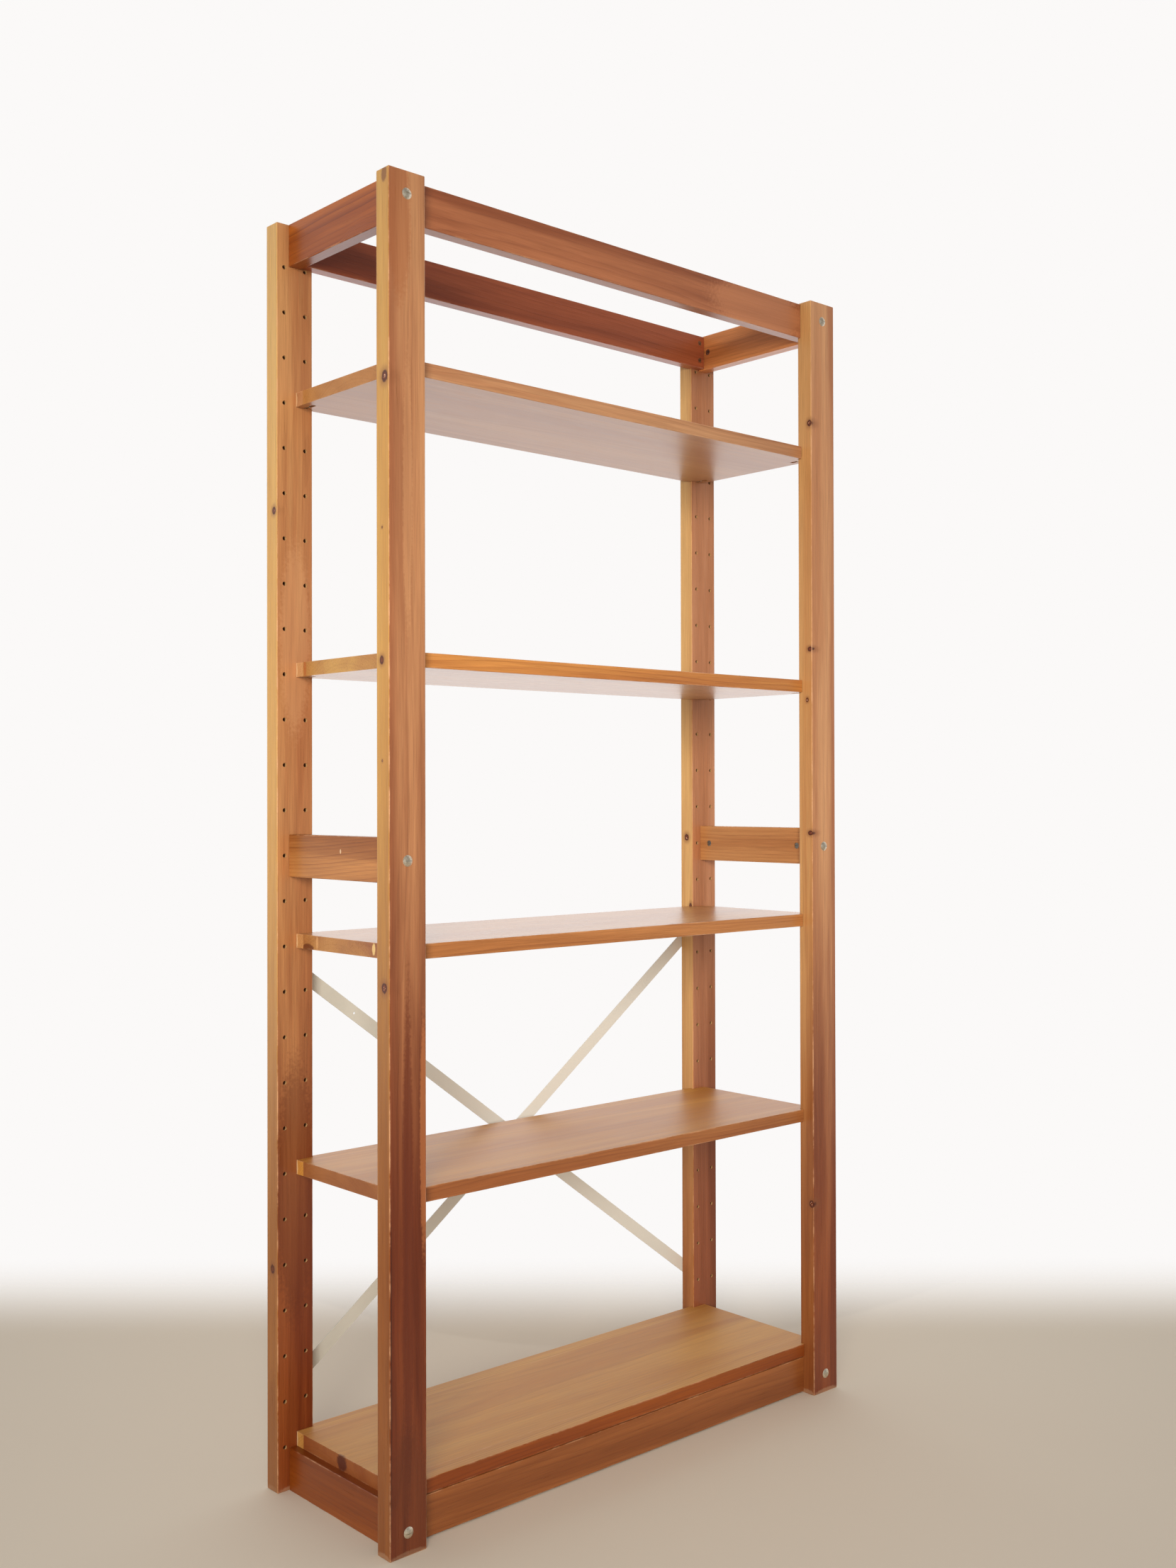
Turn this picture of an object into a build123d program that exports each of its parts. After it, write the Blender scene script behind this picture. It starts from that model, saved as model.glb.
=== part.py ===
from build123d import *
import os

# A free-standing pine bookcase. Four flat uprights stand at the corners with their wide faces to
# the front and rear. Three short rails on each side are bolted between a front and a rear upright
# to make the two end frames, and four long rails join the end frames. Five alike shelves lie in
# the bay: the lowest on the bottom side rails, the others on steel pins in rows of blind holes.
# X runs along the width, the front faces -Y and +Z is up. The origin is on the floor, in the middle.
# Everything is in millimetres.

os.makedirs("parts", exist_ok=True)

# Overall sizes
overall_width = 895.0
overall_depth = 300.0
upright_height = 1788.0

# Uprights
upright_width = 58.0
upright_thickness = 28.0
upright_edge_round = 1.4

# Rows of blind holes for the shelf pins, two columns on each upright, counted from the middle row
hole_pitch = 64.0
hole_radius = 3.0
hole_depth = 12.0
hole_from_edge = 12.0
hole_end_margin = 60.0

# Short side rails, centred on the width of the uprights
side_rail_height = 60.0
side_rail_thickness = 20.0
rail_edge_round = 1.2

# Long rails, with rebated ends that reach behind the uprights to the side rails
long_rail_height = 56.0
long_rail_thickness = 20.0
long_rail_tongue = 6.0
long_rail_gap = 0.5

# Dome-headed machine bolts through the uprights into barrel nuts in the side rails
bolt_radius = 3.0
bolt_hole_clearance = 0.5
bolt_head_radius = 7.5
bolt_head_height = 3.2
bolt_past_nut = 2.0
bolt_bore_spare = 6.0
nut_radius = 5.0
nut_length = 14.0
nut_recess = 0.5
nut_from_end = 22.0
slot_width = 1.8
slot_depth = 1.3

# Countersunk wood screws that hold the long rails from the inside
screw_radius = 2.0
screw_length = 32.0
screw_point = 5.0
screw_head_radius = 4.0
screw_head_height = 2.2
screw_from_rail_end = 11.0
screw_spacing = 30.0

# Shelves: a veneered core between a front and a rear lipping of solid wood
shelf_thickness = 20.0
shelf_setback = 20.0
shelf_end_gap = 2.0
shelf_side_clearance = 1.0
shelf_face_clearance = 0.5
lipping_width = 26.0
shelf_edge_round = 0.8
shelf_rows = {"shelf_1": 10, "shelf_2": 4, "shelf_3": -2, "shelf_4": -7}

# Shelf pins and the grooves that take them in the underside of a shelf
pin_in_hole = 10.0
pin_standing_out = 12.0
pin_hole_clearance = 0.08
pin_above_underside = 3.0
pin_seat_gap = 0.1
pin_end_round = 0.7
groove_side_clearance = 0.35
groove_end_clearance = 0.5

# Crossed steel straps on the rear face
strap_width = 20.0
strap_thickness = 1.2
strap_below_middle = 150.0
strap_low_end = 128.0
strap_past_hole = 9.0
strap_spare_hole_radius = 1.75
strap_spare_hole_from_end = 147.0
joggle_flat = 20.0
joggle_end = 60.0
strap_screw_radius = 2.0
strap_screw_hole_clearance = 0.2
strap_screw_length = 20.0
strap_screw_head_radius = 4.5
strap_screw_head_height = 2.0
rivet_radius = 2.5
rivet_head_radius = 5.5
rivet_head_height = 0.8

# Places that follow from the sizes above
half_width = overall_width / 2
half_depth = overall_depth / 2
upright_inner_x = half_width - upright_width
upright_centre_x = half_width - upright_width / 2
upright_inner_y = half_depth - upright_thickness
pin_column_x = upright_inner_x + hole_from_edge
outer_column_x = half_width - hole_from_edge
middle_z = upright_height / 2
rows_each_way = int((middle_z - hole_end_margin) // hole_pitch)
rail_levels = {
    "top": upright_height - side_rail_height / 2,
    "middle": middle_z,
    "bottom": side_rail_height / 2,
}
long_rail_levels = {"top": rail_levels["top"], "bottom": rail_levels["bottom"]}
side_rail_inner_x = upright_centre_x - side_rail_thickness / 2
side_rail_outer_x = upright_centre_x + side_rail_thickness / 2
long_rail_end_x = side_rail_inner_x - long_rail_gap
long_rail_inner_y = upright_inner_y + long_rail_tongue - long_rail_thickness
screw_x = long_rail_end_x - screw_from_rail_end
nut_y = upright_inner_y - nut_from_end
bolt_hole_radius = bolt_radius + bolt_hole_clearance
strap_high_end = middle_z - strap_below_middle
pin_radius = hole_radius - pin_hole_clearance
shelf_half_length = upright_centre_x - shelf_end_gap
shelf_front_y = half_depth - shelf_setback
groove_depth = pin_above_underside + pin_radius + pin_seat_gap
groove_half_width = pin_radius + groove_side_clearance
groove_end_y = upright_inner_y - pin_standing_out - pin_in_hole - groove_end_clearance


def block(x_low, x_high, y_low, y_high, z_low, z_high):
    """A plain block between two opposite corners."""
    middle = ((x_low + x_high) / 2, (y_low + y_high) / 2, (z_low + z_high) / 2)
    return Pos(*middle) * Box(x_high - x_low, y_high - y_low, z_high - z_low)


def plank(x_low, x_high, y_low, y_high, z_low, z_high, edge_round):
    """A block with all its edges a little rounded, as planed and sanded timber is."""
    solid = block(x_low, x_high, y_low, y_high, z_low, z_high)
    return fillet(solid.edges(), edge_round)


def rod(radius, start, length, direction):
    """A round rod from a start point along a direction such as (0, 1, 0)."""
    base = Plane(origin=start, z_dir=direction)
    return base * Cylinder(radius, length, align=(Align.CENTER, Align.CENTER, Align.MIN))


def facing(solid, start, direction):
    """Moves a fastener made along +Z so that it starts at a point and runs along a direction."""
    return Plane(origin=start, z_dir=direction, x_dir=(1, 0, 0)) * solid


def four_corners(solid):
    """The piece made for the right rear, and its mirror images at the other three corners."""
    front = mirror(solid, about=Plane.XZ)
    pieces = {"rear_right": solid, "front_right": front}
    pieces["rear_left"] = mirror(solid, about=Plane.YZ)
    pieces["front_left"] = mirror(front, about=Plane.YZ)
    return pieces


def save(name, pieces):
    """Writes one node: a single solid, or a group of alike solids."""
    solids = [solid for piece in pieces for solid in piece.solids()]
    shape = solids[0] if len(solids) == 1 else Compound(children=solids)
    export_step(shape, os.path.join("parts", name + ".step"))


def dome_bolt():
    """A slotted dome-headed bolt. Its head's underside is at z 0 and the shank runs along +Z."""
    length = upright_thickness + nut_from_end + nut_radius + bolt_past_nut
    sphere_radius = (bolt_head_radius ** 2 + bolt_head_height ** 2) / (2 * bolt_head_height)
    head = Pos(0, 0, sphere_radius - bolt_head_height) * Sphere(sphere_radius)
    head &= Pos(0, 0, -bolt_head_height / 2) * Box(
        3 * bolt_head_radius, 3 * bolt_head_radius, bolt_head_height)
    head -= Pos(0, 0, -bolt_head_height) * Box(3 * bolt_head_radius, slot_width, 2 * slot_depth)
    return head + Cylinder(bolt_radius, length, align=(Align.CENTER, Align.CENTER, Align.MIN))


def wood_screw():
    """A slotted countersunk screw. Its head is flush with z 0 and it runs along +Z."""
    head = Cone(screw_head_radius, screw_radius, screw_head_height,
                align=(Align.CENTER, Align.CENTER, Align.MIN))
    shank = Pos(0, 0, screw_head_height) * Cylinder(
        screw_radius, screw_length - screw_head_height - screw_point,
        align=(Align.CENTER, Align.CENTER, Align.MIN))
    point = Pos(0, 0, screw_length - screw_point) * Cone(
        screw_radius, 0.2, screw_point, align=(Align.CENTER, Align.CENTER, Align.MIN))
    return head + shank + point


def slotted(screw, depth):
    """The screw with its driver slot. The wood around it is cut with the screw without a slot."""
    return screw - Box(3 * screw_head_radius, 1.0, 2 * depth)


def strap_screw():
    """A round-headed screw. The underside of its head is at z 0 and it runs along +Z."""
    sphere_radius = (strap_screw_head_radius ** 2 + strap_screw_head_height ** 2) / (
        2 * strap_screw_head_height)
    head = Pos(0, 0, sphere_radius - strap_screw_head_height) * Sphere(sphere_radius)
    head &= Pos(0, 0, -strap_screw_head_height / 2) * Box(
        3 * strap_screw_head_radius, 3 * strap_screw_head_radius, strap_screw_head_height)
    return head + Cylinder(strap_screw_radius, strap_screw_length,
                           align=(Align.CENTER, Align.CENTER, Align.MIN))


def barrel_nut(level):
    """A cross dowel for the right rear: flush in the rail's inner face, with a driver slot."""
    start = (side_rail_inner_x + nut_recess, nut_y, level)
    nut = rod(nut_radius, start, nut_length, (1, 0, 0))
    nut -= rod(bolt_radius, (upright_centre_x, nut_y - 2 * nut_radius, level), 4 * nut_radius,
               (0, 1, 0))
    slot_x = side_rail_inner_x + nut_recess
    nut -= block(slot_x - slot_depth, slot_x + slot_depth, nut_y - 2 * nut_radius,
                 nut_y + 2 * nut_radius, level - slot_width / 2, level + slot_width / 2)
    return nut


def rail_screws_at_corner():
    """The four screws at the right rear corner: two in the top rail's end, two in the bottom's."""
    screws = []
    for level in long_rail_levels.values():
        for side in (-1, 1):
            start = (screw_x, long_rail_inner_y, level + side * screw_spacing / 2)
            screws.append((start, (0, 1, 0)))
    return screws


def make_upright():
    """The right rear upright: pin holes on its inner face and three bolt holes."""
    upright = plank(upright_inner_x, half_width, upright_inner_y, half_depth, 0, upright_height,
                    upright_edge_round)
    holes = []
    for row in range(-rows_each_way, rows_each_way + 1):
        for column_x in (pin_column_x, outer_column_x):
            start = (column_x, upright_inner_y, middle_z + row * hole_pitch)
            holes.append(rod(hole_radius, start, hole_depth, (0, 1, 0)))
    for level in rail_levels.values():
        start = (upright_centre_x, upright_inner_y, level)
        holes.append(rod(bolt_hole_radius, start, upright_thickness, (0, 1, 0)))
    for start, direction in rail_screws_at_corner():
        holes.append(facing(wood_screw(), start, direction))
    return upright - holes


def make_side_rail(level):
    """A right-hand side rail with a bolt bore and a barrel nut hole at each end."""
    low, high = level - side_rail_height / 2, level + side_rail_height / 2
    rail = plank(side_rail_inner_x, side_rail_outer_x, -upright_inner_y, upright_inner_y, low,
                 high, rail_edge_round)
    cuts = []
    for end in (-1, 1):
        bore_length = nut_from_end + nut_radius + bolt_bore_spare
        start = (upright_centre_x, end * upright_inner_y, level)
        cuts.append(rod(bolt_hole_radius, start, bore_length, (0, -end, 0)))
        nut_start = (side_rail_inner_x, end * nut_y, level)
        cuts.append(rod(nut_radius, nut_start, nut_length + nut_recess, (1, 0, 0)))
    return rail - cuts


def make_long_rail(level):
    """A rear long rail: its tongue stands between the uprights, its ends lie behind them."""
    low, high = level - long_rail_height / 2, level + long_rail_height / 2
    outer_y = upright_inner_y + long_rail_tongue
    rail = plank(-long_rail_end_x, long_rail_end_x, long_rail_inner_y, outer_y, low, high,
                 rail_edge_round)
    shoulder_x = upright_inner_x - long_rail_gap
    for side in (-1, 1):
        x_low, x_high = sorted((side * shoulder_x, side * (long_rail_end_x + 1)))
        rail -= block(x_low, x_high, upright_inner_y, outer_y + 1, low - 1, high + 1)
        for start, direction in rail_screws_at_corner():
            if start[2] > low and start[2] < high:
                rail -= facing(wood_screw(), (side * start[0], start[1], start[2]), direction)
    return rail


def make_shelf(underside):
    """The three pieces of a shelf: the core and the front and rear lippings."""
    top = underside + shelf_thickness
    core_y = shelf_front_y - lipping_width
    core = block(-shelf_half_length, shelf_half_length, -core_y, core_y, underside, top)
    lipping = block(-shelf_half_length, shelf_half_length, core_y, shelf_front_y, underside, top)
    outer_edges = lipping.edges().filter_by(Axis.X).group_by(Axis.Y)[-1]
    lipping = fillet(outer_edges, shelf_edge_round)
    notch_y = upright_inner_y - shelf_face_clearance
    notch_x = upright_inner_x - shelf_side_clearance
    for side in (-1, 1):
        x_low, x_high = sorted((side * notch_x, side * (shelf_half_length + 1)))
        lipping -= block(x_low, x_high, notch_y, shelf_front_y + 1, underside - 1, top + 1)
        for end in (-1, 1):
            groove = make_groove(side * pin_column_x, end, underside)
            core -= groove
            lipping -= groove
    return {
        "core": core,
        "rear_lipping": lipping,
        "front_lipping": mirror(lipping, about=Plane.XZ),
    }


def make_groove(x, end, underside):
    """A groove in a shelf's underside that drops over one pin. Its round end clears the pulled pin."""
    low, high = underside - 1, underside + groove_depth
    y_low, y_high = sorted((end * groove_end_y, end * (shelf_front_y + 1)))
    straight = block(x - groove_half_width, x + groove_half_width, y_low, y_high, low, high)
    round_end = rod(groove_half_width, (x, end * groove_end_y, low), high - low, (0, 0, 1))
    return straight + round_end


def make_pin(x, end, hole_z):
    """One steel shelf pin, part in its hole and part standing out under the shelf."""
    start = (x, end * (upright_inner_y - pin_standing_out), hole_z)
    pin = rod(pin_radius, start, pin_standing_out + pin_in_hole, (0, end, 0))
    return fillet(pin.edges().filter_by(GeomType.CIRCLE), pin_end_round)


def make_strap(rise, joggled):
    """A flat strap on the rear. It climbs to +X when rise is 1 and to -X when rise is -1."""
    run = 2 * upright_centre_x
    climb = strap_high_end - strap_low_end
    hole_spacing = (run ** 2 + climb ** 2) ** 0.5
    half_length = hole_spacing / 2 + strap_past_hole
    lift = strap_thickness if joggled else 0.0
    lower = [(-half_length, 0), (-joggle_end, 0), (-joggle_flat, lift), (joggle_flat, lift),
             (joggle_end, 0), (half_length, 0)]
    upper = [(x, y + strap_thickness) for x, y in reversed(lower)]
    if not joggled:
        lower = [lower[0], lower[-1]]
        upper = [upper[0], upper[-1]]
    profile = Plane.XZ * make_face(Polyline(*lower, *upper, close=True))
    strap = extrude(profile, strap_width / 2, both=True)
    hole_radius_here = strap_screw_radius + strap_screw_hole_clearance
    for end in (-1, 1):
        strap -= Pos(end * hole_spacing / 2, 0, 0) * Cylinder(hole_radius_here, 20)
    strap -= Cylinder(rivet_radius, 20)
    if not joggled:
        spare_x = strap_spare_hole_from_end - hole_spacing / 2
        strap -= Pos(spare_x, 0, 0) * Cylinder(strap_spare_hole_radius, 20)
    middle = (0, half_depth, (strap_high_end + strap_low_end) / 2)
    wall = Plane(origin=middle, x_dir=(run, 0, rise * climb), z_dir=(0, 1, 0))
    return wall * strap


def strap_screw_places():
    """Where the four strap ends are screwed to the rear uprights."""
    return [(side * upright_centre_x, half_depth, height)
            for side in (-1, 1) for height in (strap_low_end, strap_high_end)]


def make_rivet():
    """The rivet at the crossing: a shank through both straps and a low head on each side."""
    height = (strap_high_end + strap_low_end) / 2
    start = (0, half_depth - rivet_head_height, height)
    length = 2 * strap_thickness + 2 * rivet_head_height
    rivet = rod(rivet_radius, start, length, (0, 1, 0))
    rivet += rod(rivet_head_radius, start, rivet_head_height, (0, 1, 0))
    outer = (0, half_depth + 2 * strap_thickness, height)
    return rivet + rod(rivet_head_radius, outer, rivet_head_height, (0, 1, 0))


# Uprights, with screw holes for the straps in the two rear ones
uprights = four_corners(make_upright())
strap_screws = []
for place in strap_screw_places():
    seat = (place[0], place[1] + strap_thickness, place[2])
    screw = facing(strap_screw(), seat, (0, -1, 0))
    strap_screws.append(screw)
    corner = "rear_left" if place[0] < 0 else "rear_right"
    uprights[corner] -= rod(strap_screw_radius, seat, strap_screw_length, (0, -1, 0))
for corner, upright in uprights.items():
    save(corner + "_upright", [upright])

# Side rails and long rails
for name, level in rail_levels.items():
    right = make_side_rail(level)
    save(name + "_right_side_rail", [right])
    save(name + "_left_side_rail", [mirror(right, about=Plane.YZ)])
for name, level in long_rail_levels.items():
    rear = make_long_rail(level)
    save(name + "_rear_rail", [rear])
    save(name + "_front_rail", [mirror(rear, about=Plane.XZ)])

# Fasteners of the frame
bolts, nuts, rail_screws = [], [], []
for level in rail_levels.values():
    head_seat = (upright_centre_x, half_depth, level)
    bolts += four_corners(facing(dome_bolt(), head_seat, (0, -1, 0))).values()
    nuts += four_corners(barrel_nut(level)).values()
for start, direction in rail_screws_at_corner():
    screw = slotted(wood_screw(), 1.0)
    rail_screws += four_corners(facing(screw, start, direction)).values()
save("frame_bolts", bolts)
save("barrel_nuts", nuts)
save("rail_screws", rail_screws)

# Crossed straps
save("inner_strap", [make_strap(-1, joggled=False)])
save("outer_strap", [make_strap(1, joggled=True)])
save("strap_screws", strap_screws)
save("strap_rivet", [make_rivet()])

# Shelves and their pins
bottom_underside = side_rail_height
shelf_undersides = {"bottom_shelf": bottom_underside}
for name, row in shelf_rows.items():
    hole_z = middle_z + row * hole_pitch
    shelf_undersides[name] = hole_z - pin_above_underside
    for end_name, end in (("front", -1), ("rear", 1)):
        pins = [make_pin(side * pin_column_x, end, hole_z) for side in (-1, 1)]
        save(name + "_" + end_name + "_pins", pins)
for name, underside in shelf_undersides.items():
    for piece_name, piece in make_shelf(underside).items():
        save(name + "_" + piece_name, [piece])
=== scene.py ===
# %% [markdown]
# # A pine bookcase, finished in Blender
#
# The bookcase stands on four flat uprights of stained pine. Short side rails and long rails join
# them, five shelves lie in the bay, and two steel straps cross at the back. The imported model
# already holds every plank, bolt and pin at its real size, so the shapes are fixed.
#
# What is left is the surface: the year rings, the stain, the lacquer, the knots and the wear.
# They could be painted on images, but each plank is a block cut from a log, so this lesson
# builds them as solid patterns that run through the wood and meet rightly at every corner.

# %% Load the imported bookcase
import math

import bpy
from mathutils import Matrix, Vector


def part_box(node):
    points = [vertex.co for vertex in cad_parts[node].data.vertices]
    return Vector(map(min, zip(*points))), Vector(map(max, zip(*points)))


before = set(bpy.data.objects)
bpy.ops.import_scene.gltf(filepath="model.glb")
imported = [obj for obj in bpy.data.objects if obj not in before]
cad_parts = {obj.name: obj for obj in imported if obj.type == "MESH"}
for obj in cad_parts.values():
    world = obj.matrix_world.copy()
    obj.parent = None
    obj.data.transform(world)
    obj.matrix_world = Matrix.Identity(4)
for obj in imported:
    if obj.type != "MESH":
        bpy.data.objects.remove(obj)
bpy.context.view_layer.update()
print("pieces in the packed model:", len(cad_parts))

# %% [markdown]
# ## The camera
#
# The bookcase is seen from its front left corner, with the eye just over half way up. The lens
# is a moderate wide angle, so the near upright looks larger than the far ones. A camera can be
# aimed with a constraint, but three angles and a place say the same and stay readable.

# %% Place the camera
camera_place = Vector((-1.6254, -1.8295, 0.9770))
camera_azimuth, camera_elevation = math.radians(-42.166), math.radians(-0.439)
camera_roll = math.radians(-0.125)

camera = bpy.data.objects.new("camera", bpy.data.cameras.new("camera"))
bpy.context.scene.collection.objects.link(camera)
camera.data.sensor_width = 36.0
camera.data.lens = 36.54
camera.data.clip_start, camera.data.clip_end = 0.05, 60.0
backward = Vector((
    math.sin(camera_azimuth) * math.cos(camera_elevation),
    -math.cos(camera_azimuth) * math.cos(camera_elevation),
    math.sin(camera_elevation),
))
turn = (-backward).to_track_quat("-Z", "Y").to_matrix().to_4x4()
roll = Matrix.Rotation(camera_roll, 4, "Z")
camera.matrix_world = Matrix.Translation(camera_place) @ turn @ roll
bpy.context.scene.camera = camera
print("camera stands", round(camera_place.length, 2), "m from the middle of the foot")

# %% [markdown]
# ## Two small tools
#
# Colours are noted as hex values, as a paint maker gives them, and a shader wants linear light,
# so one function turns one into the other. A second one adds a node with its settings, and links
# each input that is given another node's output.

# %% Colours and nodes
def linear_colour(hex_value):
    """An sRGB hex value as the linear colour that a shader reads."""
    channels = [int(hex_value[i:i + 2], 16) / 255 for i in (1, 3, 5)]
    return [c / 12.92 if c <= 0.04045 else ((c + 0.055) / 1.055) ** 2.4 for c in channels] + [1.0]


def add_node(tree, kind, inputs=(), **settings):
    """Adds a node with its settings. Inputs maps a socket to its value or to a linked output."""
    node = tree.nodes.new(kind)
    for name, value in settings.items():
        setattr(node, name, value)
    for key, value in dict(inputs).items():
        socket = node.inputs[key] if isinstance(key, int) else next(
            s for s in node.inputs if s.enabled and s.name == key)
        if isinstance(value, bpy.types.NodeSocket):
            tree.links.new(value, socket)
        else:
            socket.default_value = value
    return node


def new_material(name):
    """An empty material, with its output node."""
    material = bpy.data.materials.new(name)
    material.use_nodes = True
    material.node_tree.nodes.clear()
    return material, add_node(material.node_tree, "ShaderNodeOutputMaterial")


def give(node_names, material):
    """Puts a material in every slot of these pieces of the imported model."""
    for name in node_names:
        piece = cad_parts[name]
        if not piece.data.materials:
            piece.data.materials.append(material)
        for i in range(len(piece.data.materials)):
            piece.data.materials[i] = material


print("tools ready")

# %% [markdown]
# ## Where a point lies in its plank
#
# Every pattern below asks where a point is in its plank: how far along the grain, how far from
# the middle, how near an edge. The piece's Object coordinates answer that, because they stay with
# the piece when it is lifted or pulled. Subtracting the plank's own middle centres them.

# %% Coordinates in a plank
AXES = {"X": 0, "Y": 1, "Z": 2}


def along_and_across(grain, along, across):
    """A vector with one value along the grain and another one across it, both ways."""
    return tuple(along if AXES[grain] == i else across for i in range(3))


def plank_coordinates(tree, node_name):
    """The place from the middle of the plank, its three parts, and the plank's half size."""
    low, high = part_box(node_name)
    middle, half = (low + high) / 2, (high - low) / 2
    place = add_node(tree, "ShaderNodeTexCoord").outputs["Object"]
    place = add_node(tree, "ShaderNodeVectorMath", {0: place, 1: middle},
                     operation="SUBTRACT").outputs[0]
    parts = add_node(tree, "ShaderNodeSeparateXYZ", {0: place}).outputs
    return place, parts, middle, half


print("grain along Z: one part along,", along_and_across("Z", 1.0, 0.0), "none across")

# %% [markdown]
# ## Year rings
#
# A plank is a slice of a log. The rings are cylinders round the pith, which runs nearly along the
# plank, somewhere beside it. Near the pith the slice shows wide arches, and far from it straight
# lines. A wave texture draws straight bands only, so the distance from a leaning, slightly
# wandering pith line is worked out instead. Each ring grows darker towards its end, the latewood,
# and stops sharply. A knot pushes the rings round itself.

# %% Rings round the pith
wander_reach, wander_pitch = 0.016, 2.2  # metres sideways, swings in each metre of length
ring_roughness = 0.0022  # how far the fibres push a ring in or out, in metres
early_and_late = ((0.07, 0.0), (0.45, 0.06), (0.8, 0.45))  # part of the year, darkness


def ring_pattern(tree, place, parts, grain, pith, lean, ring_width, bulges):
    """Latewood, from 0 to 1, as fine dark lines a ring width apart."""
    wander_scale = add_node(tree, "ShaderNodeVectorMath",
                            {0: place, 1: along_and_across(grain, wander_pitch, 0.0)},
                            operation="MULTIPLY").outputs[0]
    wander_noise = add_node(tree, "ShaderNodeTexNoise",
                            {"Vector": wander_scale, "Scale": 1.0, "Detail": 1.5})
    half_reach = along_and_across(grain, 0.0, wander_reach / 2)
    wander = add_node(tree, "ShaderNodeVectorMath",
                      {0: wander_noise.outputs["Color"],
                       1: along_and_across(grain, 0.0, wander_reach),
                       2: [-p - h for p, h in zip(pith, half_reach)]},
                      operation="MULTIPLY_ADD").outputs[0]
    leaning = add_node(tree, "ShaderNodeVectorMath", {0: lean, "Scale": parts[AXES[grain]]},
                       operation="SCALE").outputs[0]
    flat = add_node(tree, "ShaderNodeVectorMath",
                    {0: place, 1: along_and_across(grain, 0.0, 1.0), 2: wander},
                    operation="MULTIPLY_ADD").outputs[0]
    flat = add_node(tree, "ShaderNodeVectorMath", {0: flat, 1: leaning},
                    operation="ADD").outputs[0]
    radius = add_node(tree, "ShaderNodeVectorMath", {0: flat}, operation="LENGTH").outputs["Value"]
    rough_place = add_node(tree, "ShaderNodeVectorMath",
                           {0: place, 1: along_and_across(grain, 5.0, 60.0)},
                           operation="MULTIPLY").outputs[0]
    rough = add_node(tree, "ShaderNodeTexNoise",
                     {"Vector": rough_place, "Scale": 1.0, "Detail": 2.0})
    radius = add_node(tree, "ShaderNodeMath",
                      {0: rough.outputs["Fac"], 1: ring_roughness, 2: radius},
                      operation="MULTIPLY_ADD").outputs[0]
    for bulge in bulges:
        radius = add_node(tree, "ShaderNodeMath", {0: radius, 1: bulge},
                          operation="ADD").outputs[0]
    years = add_node(tree, "ShaderNodeMath", {0: radius, 1: ring_width},
                     operation="DIVIDE").outputs[0]
    part_of_year = add_node(tree, "ShaderNodeMath", {0: years}, operation="FRACT").outputs[0]
    latewood = add_node(tree, "ShaderNodeValToRGB", {"Fac": part_of_year})
    ramp = latewood.color_ramp
    ramp.elements[0].position, ramp.elements[0].color = 0.0, (0.35, 0.35, 0.35, 1)
    ramp.elements[1].position, ramp.elements[1].color = 1.0, (1, 1, 1, 1)
    for position, darkness in early_and_late:
        ramp.elements.new(position).color = (darkness, darkness, darkness, 1)
    strength = add_node(tree, "ShaderNodeTexNoise", {"W": years, "Scale": 0.55, "Detail": 1.0},
                        noise_dimensions="1D")
    strength = add_node(tree, "ShaderNodeMapRange",
                        {"Value": strength.outputs["Fac"], "From Min": 0.35, "From Max": 0.65,
                         "To Min": 0.25, "To Max": 1.0}).outputs[0]
    return add_node(tree, "ShaderNodeMath", {0: latewood.outputs["Color"], 1: strength},
                    operation="MULTIPLY").outputs[0]


print("the pith wanders", wander_reach * 500, "mm to each side")

# %% [markdown]
# ## Knots
#
# A knot is the stub of a branch. On the narrow faces of the uprights they are small ovals with a
# dark red brown ring of bark, a red brown heart, a brown halo and a few pale chips where the
# plane tore it. Each one is an ellipsoid of influence set in the face, so it doesn't come out on
# the next face. The distance from its centre, in units of its own radius, drives everything.

# %% A knot's distance and colours
halo, knot_heart = (1.1, 3.4, 0.60, "#7C4A2A"), (1.0, 1.7, 0.95, "#6A2C0C")
bark_ring, bark_tone, chip_tone = 1.2, "#451707", "#E0B597"  # the ring in the knot's own radii


def knot_distance(tree, place, middle, spot, radii):
    """Distance from a knot's centre: 1 at its bark ring."""
    offset = add_node(tree, "ShaderNodeVectorMath",
                      {0: place, 1: [s - m for s, m in zip(spot, middle)]},
                      operation="SUBTRACT").outputs[0]
    share = add_node(tree, "ShaderNodeVectorMath", {0: offset, 1: radii},
                     operation="DIVIDE").outputs[0]
    distance = add_node(tree, "ShaderNodeVectorMath", {0: share},
                        operation="LENGTH").outputs["Value"]
    uneven = add_node(tree, "ShaderNodeTexNoise", {"Vector": place, "Scale": 260.0, "Detail": 2.0})
    return add_node(tree, "ShaderNodeMath", {0: uneven.outputs["Fac"], 1: 0.55, 2: distance},
                    operation="MULTIPLY_ADD").outputs[0]


def knot_bulge(tree, distance, push):
    """How far the rings step aside near a knot."""
    return add_node(tree, "ShaderNodeMapRange",
                    {"Value": distance, "From Min": 0.6, "From Max": 4.5, "To Min": push,
                     "To Max": 0.0}, interpolation_type="SMOOTHERSTEP").outputs[0]


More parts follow.
